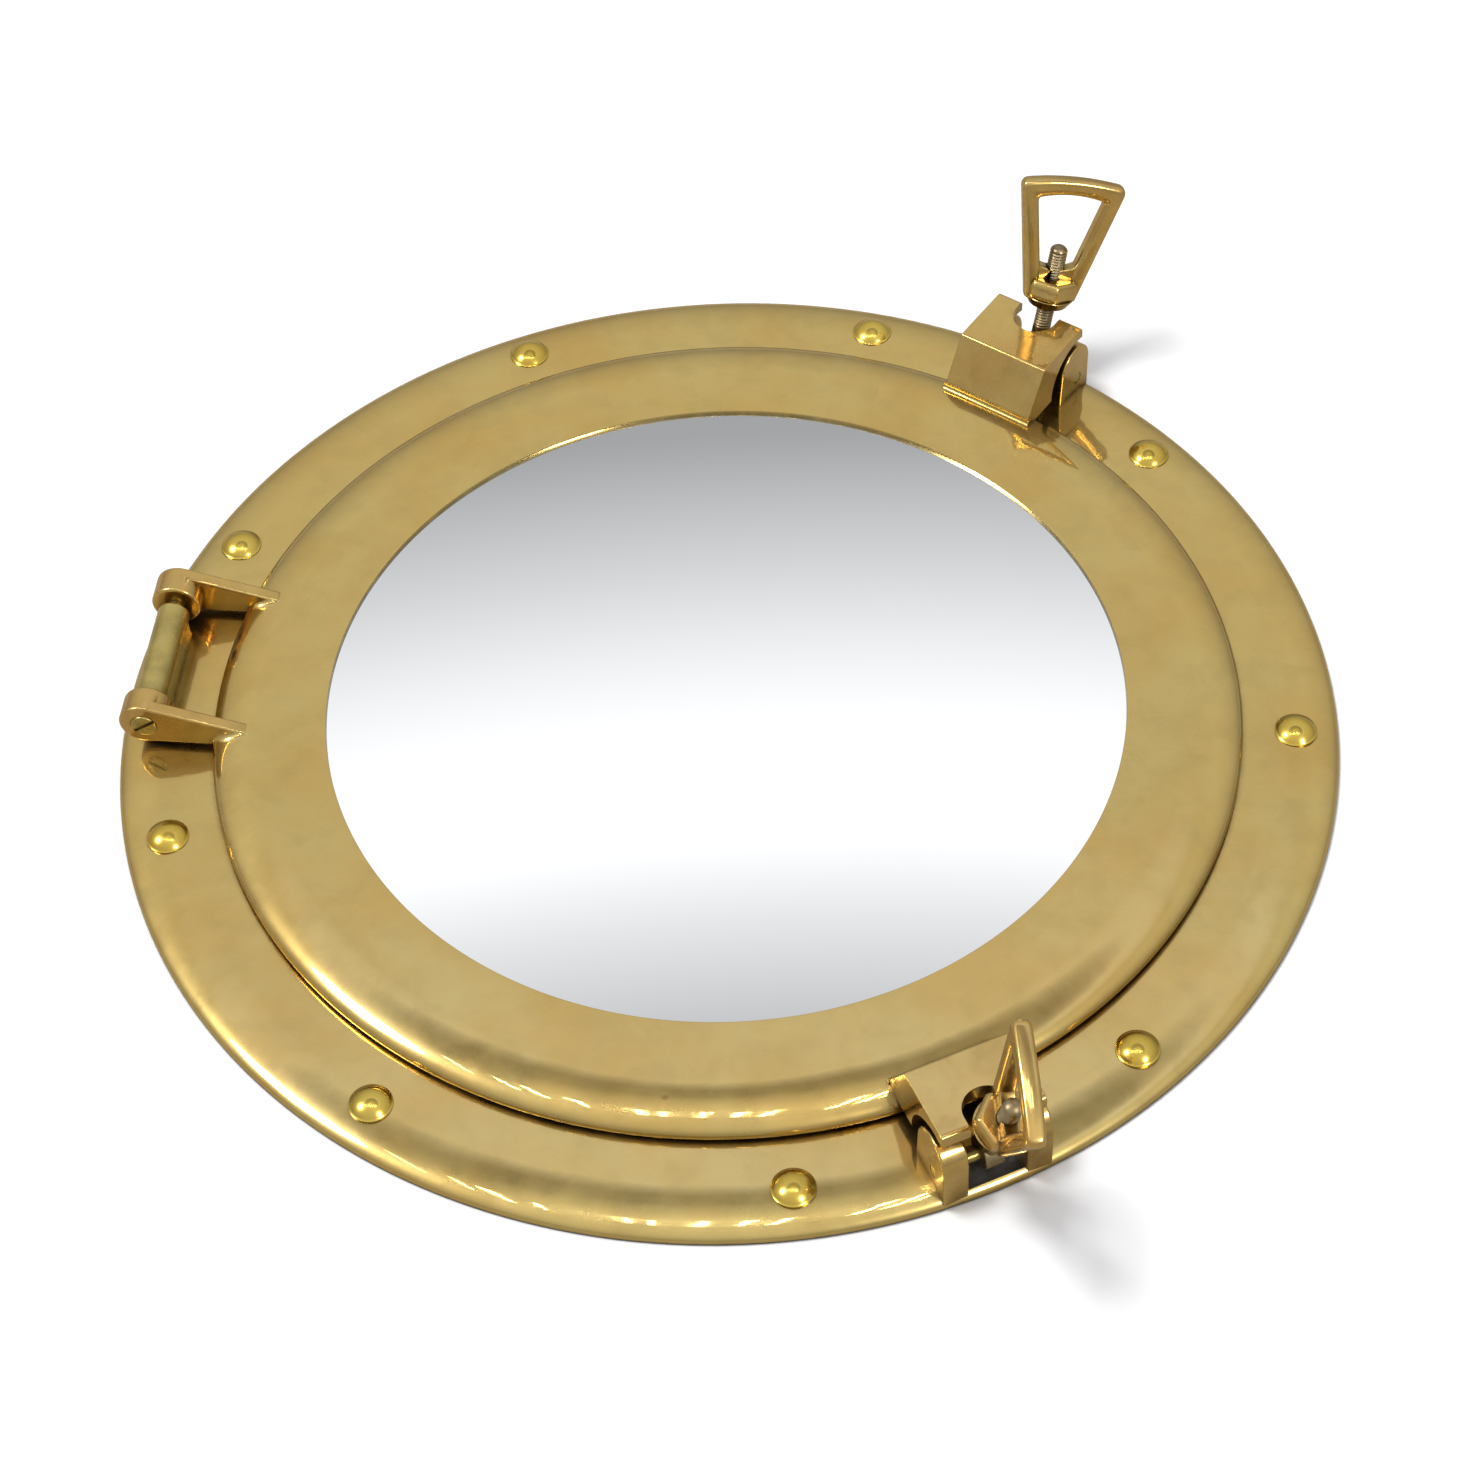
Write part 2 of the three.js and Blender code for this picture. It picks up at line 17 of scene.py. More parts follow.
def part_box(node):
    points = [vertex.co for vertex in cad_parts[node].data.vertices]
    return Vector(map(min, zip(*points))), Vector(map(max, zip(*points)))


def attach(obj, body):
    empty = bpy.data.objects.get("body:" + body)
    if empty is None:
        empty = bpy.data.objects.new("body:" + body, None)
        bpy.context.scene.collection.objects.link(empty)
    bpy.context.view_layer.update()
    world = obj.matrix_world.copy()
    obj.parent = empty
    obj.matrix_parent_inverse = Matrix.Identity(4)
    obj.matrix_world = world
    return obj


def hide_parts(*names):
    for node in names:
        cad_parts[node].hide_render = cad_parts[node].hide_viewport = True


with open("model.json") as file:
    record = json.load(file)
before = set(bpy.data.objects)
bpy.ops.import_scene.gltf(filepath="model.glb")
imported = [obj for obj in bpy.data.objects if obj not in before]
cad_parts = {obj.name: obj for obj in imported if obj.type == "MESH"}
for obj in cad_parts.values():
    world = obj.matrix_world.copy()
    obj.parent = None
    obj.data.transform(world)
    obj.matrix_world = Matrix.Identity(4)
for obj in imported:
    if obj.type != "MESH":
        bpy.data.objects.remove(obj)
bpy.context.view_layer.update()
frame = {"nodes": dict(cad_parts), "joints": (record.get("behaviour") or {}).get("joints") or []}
SCENE = bpy.context.scene
JOINTS = {joint["name"]: joint for joint in frame["joints"]}

# ---------- places taken from the frame ----------

MM = 0.001
FLANGE_LOW, FLANGE_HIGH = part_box("frame")
CENTRE = (FLANGE_LOW + FLANGE_HIGH) / 2
CENTRE.z = 0
FLANGE_R = (FLANGE_HIGH.x - FLANGE_LOW.x) / 2 / MM
GLASS_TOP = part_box("mirror_glass")[1].z / MM
GLASS_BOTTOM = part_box("mirror_glass")[0].z / MM
GLASS_R = (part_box("mirror_glass")[1].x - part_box("mirror_glass")[0].x) / 2 / MM
HINGE_X = (JOINTS["door_hinge"]["pos_m"][0] - CENTRE.x) / MM
HINGE_Z = JOINTS["door_hinge"]["pos_m"][2] / MM

# ---------- sizes ----------

ROUND = 288  # sides of the large turned rings
SMALL_ROUND = 64  # sides of collars, knuckles and rivets
BORE_ROUND = 32  # sides of bores and thin pins
PLAY = 0.1  # how far a bore stands off its pin
PAST = 1  # how far a cutting tool runs past what it cuts

FLANGE_TOP = 4.4
FLANGE_ROLL = 13
FLANGE_FOOT = 0.5
FLANGE_OPENING_R = 99
OPENING_BREAK = 0.3  # chamfer round the opening
BACK_BREAK = (0.2, 0.15)  # chamfer round the back, inwards and upwards
RELIEF = (106, 136, 1.5)  # inner and outer radius and depth of the recess in the back

DOOR_R = 128.4
DOOR_TOP = 11
DOOR_UNDERSIDE = 5.4
DOOR_ROLL = 13
DOOR_ROLL_FOOT = 6.2
SIGHT_R = 99.6
SIGHT_EDGE = ((0, 0.25), (0.08, 0.08), (0.3, 0))  # outwards from the sight edge, down from the front
RIM_EDGE = ((0.12, 0.2), (0.4, 0))  # inwards from the rim, up from the underside
GASKET_GROOVE = (110.85, 115.15, 7.5)  # inner and outer radius, top
RETAINER_SEAT = (105.1, 108.95, 6.6)  # the rebate's radius, the seat's radius, top
DOOR_HOLLOW = (117.5, 124.4, 8.2)  # inner and outer radius, top

KNUCKLE_R = 6.3
EAR_ROOT_X = -117.5
EARS = (((-21, -17.5), (-21, -13.5)), ((23.5, 27), (19, 27)))  # web and boss, along Y
EAR_SINK = 0.3  # how far the ears' roots stay inside the ring's thickness
EAR_WRAP = 264  # the angle where a knuckle's round meets the ear's underside
EAR_FILLET = (-126.5, -116.9, 2.5)  # ends along X, greatest width
BARREL = (4.1, -13, 17)  # radius and ends
PEDESTAL = {"half": 3.2, "flare": 0.8, "foot": 2.6, "waist": 5.5, "inset": 0.5}
PIN_HEAD = {"radius": 3.3, "thick": 1.6, "proud": 0.4, "slot": 0.45, "deep": 0.8, "turn": -35}
HINGE_PIN_R = 2

POST = {"half": 13.7, "gap": 7.3, "inner": 138, "outer": 151.7, "foot": 0.2, "top": 19.4, "round": 6.8,
        "heel": 0.6, "sunk": 3.4, "skirt": 4, "skirt_top": 3}
BOLT_SLOT = (141.4, 150.8)  # inner and outer end
PIVOT_PIN_R = 1.5

LUG = {"half": 13, "foot": 121.6, "crest": 129.5, "outer": 149, "top": 24, "base": 8.8}
LUG_ROUNDS = (0, 0, 1.3, 0.9, 0.3)  # corner radii of its outline, from the foot
LUG_TOE = 0.3  # how far the foot's front edge stands above the ring's flat face
LUG_HOLLOW = (145.5, 9.5, 11.7)  # centre and radius of the round hollow under its plate
LUG_SLOT = (139.8, 6)  # inner end and half width
BRAZE = {"a": 1.3, "b": 0.6}  # size of the fillet at the lug's foot
BRAZE_BURIED = (0.9, 0.6)  # how far it runs into the lug and into the ring

BOLT_R = 2.4
BOLT_FOOT = 3  # where the shank leaves the eye, from the pivot
BOLT_TIP = 34.5  # from the pivot
BOLT_DOME = 1.9  # height of the rounded tip
THREAD = {"pitch": 0.8, "depth": 0.32, "start": 10, "run_in": 1.5}
THREAD_SIDES = 40  # vertices round the thread
THREAD_STEPS = 14  # rows of vertices per turn
EYE = (4.1, 2.4)  # radius and half width
NUT_SEAT = 17.3  # from the pivot
NUT_CONE = ((5.2, 0), (6.9, 2.8))  # radius, height
NUT_HEXAGON = ((6.6, 2.3), (7.3, 3.5), (7.3, 6.6), (6.5, 8))  # radius at the corners, height
NUT_BORE = (2.55, 18)  # radius and height
LOOP = {"height": 36.8, "top": 14.8, "foot": 6.6, "bar": 4.4, "crown": 1.4, "thick": 4.6,
        "corner": 2.4, "window_corner": 1.1, "start": 2}
SADDLE = {"floor": 10.7, "rise": 3.6, "dip": 0.6, "span": 0.72, "foot_half": 5.5, "foot": 6, "inset": 0.35}
LOOP_TURN = {"a": -49, "b": 162}  # degrees about the bolt

RIVET_R = 5.2
RIVET_HEIGHT = 2.7
RIVET_CORE = (2, 2)  # radius and depth of the shank's stub
RIVET_RIM = (0.9, 0.7, 0.1)  # depth of the head's underside and of its rim, and the rim's bevel
RIVET_LIP = 0.2  # height of the head's upright rim

# ---------- placing ----------


def place(azimuth=0.0):
    """From millimetres in the porthole's frame, turned by azimuth, to the row frame in metres."""
    return (
        Matrix.Translation(CENTRE)
        @ Matrix.Rotation(math.radians(azimuth), 4, "Z")
        @ Matrix.Diagonal((MM, MM, MM, 1))
    )


def dog_place(letter, along=0.0, turn=0.0):
    """A frame on the dog's bolt as it stands at rest: z along the bolt, x away from the centre."""
    joint = JOINTS[f"dog_{letter}_swing"]
    across = Vector(joint["axis"]).normalized()
    along_bolt = Vector(JOINTS[f"nut_{letter}_spin"]["axis"]).normalized()
    outward = across.cross(along_bolt)
    rotation = Matrix((outward, across, along_bolt)).transposed().to_4x4()
    return (
        Matrix.Translation(Vector(joint["pos_m"]))
        @ rotation
        @ Matrix.Diagonal((MM, MM, MM, 1))
        @ Matrix.Translation((0, 0, along))
        @ Matrix.Rotation(math.radians(turn), 4, "Z")
    )


def dog_pivot(letter):
    return Vector(JOINTS[f"dog_{letter}_swing"]["pos_m"]) - CENTRE


def dog_azimuth(letter):
    pivot = dog_pivot(letter)
    return math.degrees(math.atan2(pivot.y, pivot.x))


def dog_radius(letter):
    pivot = dog_pivot(letter)
    return math.hypot(pivot.x, pivot.y) / MM


def dog_height(letter):
    return JOINTS[f"dog_{letter}_swing"]["pos_m"][2] / MM


# ---------- mesh building ----------


def new_object(name, mesh, matrix=None):
    if matrix is not None:
        mesh.transform(matrix)
    obj = bpy.data.objects.new(name, mesh)
    SCENE.collection.objects.link(obj)
    return obj


def mesh_from(name, bm):
    bmesh.ops.remove_doubles(bm, verts=bm.verts, dist=1e-5)
    bmesh.ops.recalc_face_normals(bm, faces=bm.faces)
    mesh = bpy.data.meshes.new(name)
    bm.to_mesh(mesh)
    bm.free()
    return mesh


def turned(name, profile, sides=ROUND, matrix=None):
    """A closed [radius, z] outline turned about Z."""
    bm = bmesh.new()
    rings = []
    for i in range(sides):
        a = 2 * math.pi * i / sides
        rings.append([bm.verts.new((r * math.cos(a), r * math.sin(a), z)) for r, z in profile])
    count = len(profile)
    for i in range(sides):
        here, after = rings[i], rings[(i + 1) % sides]
        for k in range(count):
            m = (k + 1) % count
            if profile[k][0] < 1e-6 and profile[m][0] < 1e-6:
                continue
            corners = [here[k], after[k], after[m], here[m]]
            if profile[k][0] < 1e-6:
                corners = [here[k], after[m], here[m]]
            elif profile[m][0] < 1e-6:
                corners = [here[k], after[k], here[m]]
            bm.faces.new(corners)
    return new_object(name, mesh_from(name, bm), matrix)


def prism(name, outline, low, high, matrix=None):
    """An outline in the (x, z) plane drawn out along y."""
    bm = bmesh.new()
    near = [bm.verts.new((x, low, z)) for x, z in outline]
    far = [bm.verts.new((x, high, z)) for x, z in outline]
    bm.faces.new(near)
    bm.faces.new(list(reversed(far)))
    count = len(outline)
    for i in range(count):
        j = (i + 1) % count
        bm.faces.new([near[j], near[i], far[i], far[j]])
    return new_object(name, mesh_from(name, bm), matrix)


def lofted(name, sections, matrix=None):
    """A closed skin over a row of matching outlines, capped at both ends."""
    bm = bmesh.new()
    rings = [[bm.verts.new(point) for point in section] for section in sections]
    count = len(rings[0])
    for one, two in zip(rings, rings[1:]):
        for k in range(count):
            m = (k + 1) % count
            bm.faces.new([one[k], one[m], two[m], two[k]])
    bm.faces.new(rings[0])
    bm.faces.new(rings[-1])
    return new_object(name, mesh_from(name, bm), matrix)


def rod(name, radius, low, high, x, z, matrix=None, sides=SMALL_ROUND):
    """A round bar along y."""
    outline = arc(x, z, radius, 0, 360, sides)[:-1]
    return prism(name, outline, low, high, matrix)


def bore(pin_radius, low, high, x, z, matrix):
    """The tool that drills the hole for a pin along y."""
    return rod("bore", pin_radius + PLAY, low - PAST, high + PAST, x, z, matrix, BORE_ROUND)


def arc(x, z, radius, start, end, steps):
    points = []
    for i in range(steps + 1):
        a = math.radians(start + (end - start) * i / steps)
        points.append((x + radius * math.cos(a), z + radius * math.sin(a)))
    return points


def rolled_edge(outer, width, top, foot, steps=28):
    """A quarter-ellipse from a flat top down to an upright edge."""
    points = []
    for i in range(steps + 1):
        t = math.pi / 2 * (1 - i / steps)
        points.append((outer - width + width * math.cos(t), foot + (top - foot) * math.sin(t)))
    return points


def apply_modifiers(obj):
    graph = bpy.context.evaluated_depsgraph_get()
    mesh = bpy.data.meshes.new_from_object(obj.evaluated_get(graph))
    obj.modifiers.clear()
    obj.data = mesh


def boolean(obj, tool, operation):
    modifier = obj.modifiers.new("cut", "BOOLEAN")
    modifier.object = tool
    modifier.operation = operation
    modifier.solver = "EXACT"
    apply_modifiers(obj)
    bpy.data.objects.remove(tool)


def cut(obj, *tools):
    for tool in tools:
        boolean(obj, tool, "DIFFERENCE")


def join(obj, *tools):
    for tool in tools:
        boolean(obj, tool, "UNION")


def soften(obj, width, segments=3, angle=30):
    """Rounds the edges, in metres."""
    modifier = obj.modifiers.new("round", "BEVEL")
    modifier.width = width
    modifier.segments = segments
    modifier.limit_method = "ANGLE"
    modifier.angle_limit = math.radians(angle)
    modifier.use_clamp_overlap = True
    modifier.miter_outer = "MITER_ARC"
    apply_modifiers(obj)


def smooth(obj, angle=40):
    obj.data.shade_smooth()
    obj.data.set_sharp_from_angle(angle=math.radians(angle))
    modifier = obj.modifiers.new("normals", "WEIGHTED_NORMAL")
    modifier.keep_sharp = True
    modifier.weight = 50
    apply_modifiers(obj)


def dress(obj, material, body, slot, *nodes):
    """Finishes a piece: its material, the body it rides on and the CAD nodes it stands for."""
    obj.data.materials.clear()
    obj.data.materials.append(material)
    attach(obj, body)
    if nodes:
        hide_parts(*nodes)


# ---------- materials ----------


class Nodes:
    """A short way to write a material's node tree."""

    def __init__(self, name):
        self.material = bpy.data.materials.new(name)
        self.material.use_nodes = True
        self.tree = self.material.node_tree
        self.tree.nodes.clear()
        coordinates = self.tree.nodes.new("ShaderNodeTexCoord")
        scale = self.tree.nodes.new("ShaderNodeVectorMath")
        scale.operation = "SCALE"
        scale.inputs["Scale"].default_value = 1 / MM
        self.link(coordinates.outputs["Object"], scale.inputs[0])
        self.place = scale.outputs[0]  # millimetres, fixed to the piece

    def link(self, source, target):
        self.tree.links.new(source, target)

    def add(self, kind, inputs=None, **settings):
        node = self.tree.nodes.new(kind)
        for key, value in settings.items():
            setattr(node, key, value)
        for key, value in (inputs or {}).items():
            if isinstance(value, bpy.types.NodeSocket):
                self.link(value, node.inputs[key])
            else:
                node.inputs[key].default_value = value
        return node

    def noise(self, size, detail=4.0, roughness=0.55, distortion=0.0, seed=0.0):
        """Noise between 0 and 1 with features of about size millimetres."""
        node = self.add(
            "ShaderNodeTexNoise",
            {
                "Vector": self.place,
                "Scale": 1 / size,
                "Detail": detail,
                "Roughness": roughness,
                "Distortion": distortion,
                "W": seed,
            },
            noise_dimensions="4D",
        )
        return node.outputs["Fac"]

    def spread(self, value, low, high, to_low=0.0, to_high=1.0):
        node = self.add(
            "ShaderNodeMapRange",
            {"Value": value, "From Min": low, "From Max": high, "To Min": to_low, "To Max": to_high},
            interpolation_type="SMOOTHSTEP",
        )
        return node.outputs["Result"]

    def openness(self, reach):
        """1 on open faces, falling towards 0 in corners within reach millimetres."""
        return self.add("ShaderNodeAmbientOcclusion", {"Distance": reach * MM}, samples=8).outputs["AO"]

    def maths(self, operation, a, b):
        return self.add("ShaderNodeMath", {0: a, 1: b}, operation=operation).outputs[0]

    def mix(self, factor, a, b, blend="MIX"):
        node = self.add("ShaderNodeMix", data_type="RGBA", blend_type=blend)
        for socket, value in (("Factor_Float", factor), ("A_Color", a), ("B_Color", b)):
            target = next(s for s in node.inputs if s.identifier == socket)
            if isinstance(value, bpy.types.NodeSocket):
                self.link(value, target)
            else:
                target.default_value = value
        return next(s for s in node.outputs if s.identifier == "Result_Color")

    def bump(self, height, strength, distance, normal=None):
        inputs = {"Height": height, "Strength": strength, "Distance": distance}
        if normal is not None:
            inputs["Normal"] = normal
        return self.add("ShaderNodeBump", inputs).outputs["Normal"]

    def finish(self, shader):
        self.add("ShaderNodeOutputMaterial", {"Surface": shader})
        return self.material


# dark brown used for grime in tight corners, and also for the painted shade in recesses
GRIME_AND_PAINTED_SHADE = (0.085, 0.05, 0.018, 1)


def brass(name, pale, warm, dark, polish=0.04, haze=0.3, tarnish=0.35, wave=0.02, grain=0.0, seed=0.0,
          recess=0.5):
    """Hand-polished brass: a sharp and a hazy reflection, blotches, grime in the corners, pits, and painted
    shade that darkens its recesses as far as recess says.
    """
    n = Nodes(name)
    broad = n.spread(n.noise(34, 3, seed=seed), 0.35, 0.68)
    blotch = n.spread(n.noise(9, 5, 0.6, 0.6, seed + 2), 0.42, 0.72)
    colour = n.mix(broad, pale, warm)
    colour = n.mix(n.maths("MULTIPLY", blotch, tarnish), colour, dark)
    pits = n.add("ShaderNodeTexVoronoi", {"Vector": n.place, "Scale": 1 / 17, "Randomness": 1.0})
    pit_size = n.spread(n.noise(41, 1, seed=seed + 5), 0.54, 0.78, 0.0, 0.06)
    pit = n.add(
        "ShaderNodeMapRange",
        {"Value": pits.outputs["Distance"], "From Min": 0.0, "From Max": pit_size, "To Min": 1.0,
         "To Max": 0.0},
    ).outputs["Result"]
    grime = n.spread(n.openness(2.2), 0.45, 0.92, 1.0, 0.0)
    grime = n.maths("MULTIPLY", grime, n.spread(n.noise(3, 3, seed=seed + 7), 0.3, 0.6, 0.45, 1.0))
    dirt_and_painted_shade = n.maths("MAXIMUM", n.maths("MULTIPLY", grime, 0.62), n.maths("MULTIPLY", pit, 0.5))
    # painted shade: faces closed in within 11 mm are darkened towards the grime colour, standing in for
    # shadow and dark reflections
    dirt_and_painted_shade = n.maths("MAXIMUM", dirt_and_painted_shade, n.spread(n.openness(11), 0.15, 0.66, recess, 0.0))
    colour = n.mix(dirt_and_painted_shade, colour, GRIME_AND_PAINTED_SHADE)

    smear = n.noise(14, 4, 0.6, 1.2, seed + 3)
    sharp_rough = n.maths("ADD", n.spread(smear, 0.3, 0.75, polish * 0.7, polish * 1.7),
                          n.maths("MULTIPLY", dirt_and_painted_shade, 0.3))
    hazy_rough = n.spread(n.noise(6, 3, seed=seed + 4), 0.3, 0.7, haze * 0.85, haze * 1.2)

    waves = n.maths("ADD", n.noise(22, 2, 0.4, seed=seed + 8), n.maths("MULTIPLY", n.noise(5, 2), 0.1))
    normal = n.bump(waves, 1.0, wave * MM * 10)
    if grain:
        normal = n.bump(n.noise(0.7, 3, 0.7), 1.0, grain * MM, normal)
    normal = n.bump(n.maths("MULTIPLY", pit, -1.0), 0.35, 0.15 * MM, normal)

    shared = {"Base Color": colour, "Metallic": 1.0, "Normal": normal}
    sharp = n.add("ShaderNodeBsdfPrincipled", {**shared, "Roughness": sharp_rough})
    hazy = n.add("ShaderNodeBsdfPrincipled", {**shared, "Roughness": hazy_rough})
    share = n.spread(n.noise(19, 4, 0.55, 0.8, seed + 6), 0.3, 0.7, 0.3, 0.5)
    both = n.add("ShaderNodeMixShader", {0: share, 1: sharp.outputs[0], 2: hazy.outputs[0]})
    return n.finish(both.outputs[0])


def silvered_glass():
    n = Nodes("silvered_glass")
    dust = n.spread(n.noise(0.9, 2, 0.7), 0.70, 0.80)
    colour = n.mix(n.maths("MULTIPLY", dust, 0.12), (0.93, 0.94, 0.945, 1), (0.7, 0.7, 0.69, 1))
    silver = n.add(
        "ShaderNodeBsdfPrincipled", {"Base Color": colour, "Metallic": 1.0, "Roughness": 0.0}
    )
    return n.finish(silver.outputs[0])


def rubber():
    n = Nodes("black_rubber")
    worn = n.spread(n.noise(4, 4), 0.35, 0.7)
    colour = n.mix(worn, (0.012, 0.012, 0.012, 1), (0.045, 0.043, 0.04, 1))
    normal = n.bump(n.noise(0.5, 3), 0.5, 0.15 * MM)
    shader = n.add(
        "ShaderNodeBsdfPrincipled", {"Base Color": colour, "Roughness": 0.7, "Normal": normal}
    )
    return n.finish(shader.outputs[0])


def felt():
    n = Nodes("pad_felt")
    fibre = n.noise(0.8, 6, 0.75, 2.0)
    patch = n.spread(n.noise(12, 3), 0.35, 0.65)
    colour = n.mix(patch, (0.11, 0.085, 0.06, 1), (0.17, 0.135, 0.1, 1))
    colour = n.mix(n.spread(fibre, 0.4, 0.7, 0.0, 0.5), colour, (0.05, 0.04, 0.03, 1))
    normal = n.bump(fibre, 0.9, 0.4 * MM)
    shader = n.add(
        "ShaderNodeBsdfPrincipled",
        {"Base Color": colour, "Roughness": 0.95, "Sheen Weight": 0.4, "Normal": normal},
    )
    return n.finish(shader.outputs[0])


POLISHED = brass("polished_brass", (0.80, 0.60, 0.215, 1), (0.78, 0.53, 0.165, 1), (0.60, 0.44, 0.15, 1))
# the fittings get the deepest painted shade in their recesses (recess=0.95)
FITTING = brass("fitting_brass", (0.80, 0.57, 0.195, 1), (0.76, 0.48, 0.15, 1), (0.52, 0.36, 0.115, 1),
                polish=0.06, haze=0.3, tarnish=0.5, wave=0.03, seed=11, recess=0.95)
RIVET_METAL = brass("rivet_brass", (0.84, 0.62, 0.13, 1), (0.80, 0.54, 0.09, 1), (0.55, 0.37, 0.06, 1),
                    polish=0.13, haze=0.28, tarnish=0.4, wave=0.01, seed=23)
DULL = brass("dull_brass", (0.72, 0.57, 0.19, 1), (0.60, 0.46, 0.14, 1), (0.36, 0.27, 0.08, 1),
             polish=0.2, haze=0.42, tarnish=0.6, wave=0.02, grain=0.05, seed=31)
BOLT_METAL = brass("bolt_metal", (0.50, 0.40, 0.22, 1), (0.40, 0.31, 0.17, 1), (0.2, 0.15, 0.09, 1),
                   polish=0.25, haze=0.45, tarnish=0.7, wave=0.01, grain=0.06, seed=43)
MIRROR = silvered_glass()
RUBBER = rubber()
FELT = felt()

# ---------- frame body ----------


def bolt_slot(letter):
    """The tool that cuts the flange open between a pair of posts."""
    low, high = BOLT_SLOT
    gap, below, above = POST["gap"], -2, 12
    return prism("slot", [(low, below), (high, below), (high, above), (low, above)], -gap, gap,
                 place(dog_azimuth(letter)))


def flange():
    inner, outer, depth = RELIEF
    edge = rolled_edge(FLANGE_R, FLANGE_ROLL, FLANGE_TOP, FLANGE_FOOT)
    profile = [
        (FLANGE_OPENING_R, 0), (inner, 0), (inner, depth), (outer, depth), (outer, 0),
        (FLANGE_R - BACK_BREAK[0], 0), (FLANGE_R, BACK_BREAK[1]), *reversed(edge),
        (FLANGE_OPENING_R + OPENING_BREAK, FLANGE_TOP), (FLANGE_OPENING_R, FLANGE_TOP - OPENING_BREAK),
    ]
    obj = turned("flange_plate", profile, matrix=place())
    cut(obj, bolt_slot("a"), bolt_slot("b"))
    smooth(obj)
    dress(obj, POLISHED, "frame", "polished_brass", "frame")


def hinge_barrel():
    radius, low, high = BARREL
    barrel = rod("hinge_barrel", radius, low, high, HINGE_X, HINGE_Z, place())
    soften(barrel, 0.9 * MM, 4, 60)
    half, foot, waist, inset = (PEDESTAL[key] for key in ("half", "foot", "waist", "inset"))
    wide = half + PEDESTAL["flare"]
    pedestal = prism(
        "pedestal",
        [(HINGE_X - wide, foot), (HINGE_X + wide, foot), (HINGE_X + half, waist),
         (HINGE_X + half, HINGE_Z), (HINGE_X - half, HINGE_Z), (HINGE_X - half, waist)],
        low + inset, high - inset, place(),
    )
    join(barrel, pedestal)
    cut(barrel, bore(HINGE_PIN_R, low, high, HINGE_X, HINGE_Z, place()))
    smooth(barrel, 35)
    dress(barrel, DULL, "frame", "polished_brass", "frame")


def post(letter, side):
    """One of the two uprights that hold a dog. A skirt on it runs down over the flange's edge."""
    half, gap, inner, outer = POST["half"], POST["gap"], POST["inner"], POST["outer"]
    skirt = outer - POST["skirt"]
    outline = [(inner - POST["heel"], POST["sunk"]), (skirt, POST["skirt_top"]),
               (skirt, POST["foot"]), (outer, POST["foot"])]
    outline += arc(outer - POST["round"], POST["top"] - POST["round"], POST["round"], 0, 180, 28)
    low, high = (gap, half) if side > 0 else (-half, -gap)
    name = f"dog_post_{letter}_{'right' if side > 0 else 'left'}"
    obj = prism(name, outline, low, high, place(dog_azimuth(letter)))
    soften(obj, 0.5 * MM, 3)
    cut(obj, bore(PIVOT_PIN_R, low, high, dog_radius(letter), dog_height(letter),
                  place(dog_azimuth(letter))))
    smooth(obj, 35)
    dress(obj, FITTING, "frame", "polished_brass", "frame")


def pivot_pin(letter):
    half = POST["half"]
    obj = rod(f"pivot_pin_{letter}", PIVOT_PIN_R, -half, half, dog_radius(letter),
              dog_height(letter), place(dog_azimuth(letter)), BORE_ROUND)
    soften(obj, 0.3 * MM, 3, 60)
    smooth(obj)
    dress(obj, DULL, "frame", "dull_brass", f"dog_pivot_pin_{letter}")


def rivet(index):
    node = f"flange_rivet_{index}"
    low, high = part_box(node)
    middle = ((low + high) / 2 - CENTRE) / MM
    sphere = (RIVET_R**2 + RIVET_HEIGHT**2) / (2 * RIVET_HEIGHT)
    edge = math.asin(RIVET_R / sphere)
    core, depth = RIVET_CORE
    under, rim, bevel = RIVET_RIM
    profile = [(0, FLANGE_TOP - depth), (core, FLANGE_TOP - depth), (core, FLANGE_TOP - under),
               (RIVET_R - bevel, FLANGE_TOP - under), (RIVET_R, FLANGE_TOP - rim),
               (RIVET_R, FLANGE_TOP + RIVET_LIP)]
    steps = 16
    for i in range(1, steps + 1):
        t = edge * (1 - i / steps) * 0.985  # keeps the dome just inside the rim
        profile.append((sphere * math.sin(t) if i < steps else 0,
                        FLANGE_TOP + RIVET_HEIGHT - sphere * (1 - math.cos(t))))
    obj = turned(f"rivet_{index}", profile, SMALL_ROUND,
                 place() @ Matrix.Translation((middle.x, middle.y, 0)))
    smooth(obj, 50)
    dress(obj, RIVET_METAL, "frame", "rivet_brass", node)


# ---------- door body ----------


def ring_top(radius):
    """Height of the ring's front surface at a radius."""
    share = min(1, max(0, (radius - DOOR_R + DOOR_ROLL) / DOOR_ROLL))
    return DOOR_ROLL_FOOT + (DOOR_TOP - DOOR_ROLL_FOOT) * math.sqrt(1 - share**2)


